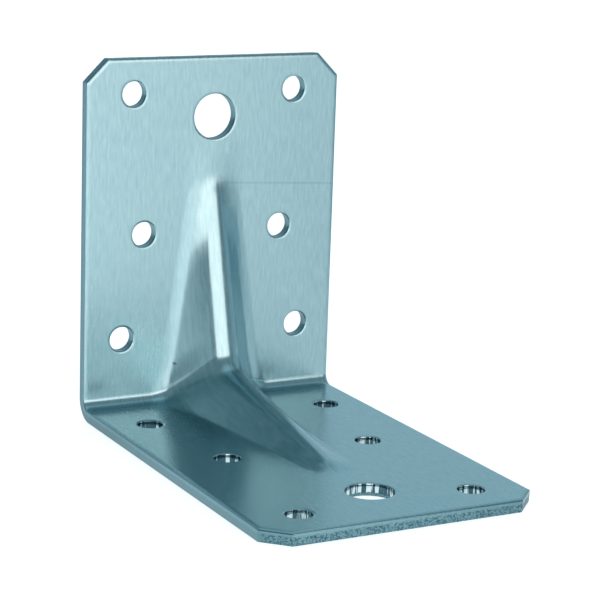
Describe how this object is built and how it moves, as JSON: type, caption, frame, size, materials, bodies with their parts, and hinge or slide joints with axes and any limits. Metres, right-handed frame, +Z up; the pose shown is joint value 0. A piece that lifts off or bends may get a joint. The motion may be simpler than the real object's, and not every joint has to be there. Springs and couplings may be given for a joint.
{
  "type": "corner brace bracket",
  "caption": "Right-angle corner brace of folded steel sheet, with a pressed rib across the corner, and bolt and nail holes in both legs.",
  "frame": {"origin": "the heel: where the planes of the wall leg's back and the floor leg's underside meet, at mid width", "axes": "+Z up the wall leg, -Y out along the floor leg, so +Y is the outward normal of the wall leg's back; X runs along the fold"},
  "size_m": [0.055, 0.0835, 0.072],
  "materials": {
    "zinc_plated_steel": "satin, blue zinc plating over rolled steel sheet"
  },
  "bodies": {
    "root": {"bracket": "zinc_plated_steel"}
  },
  "joints": []
}
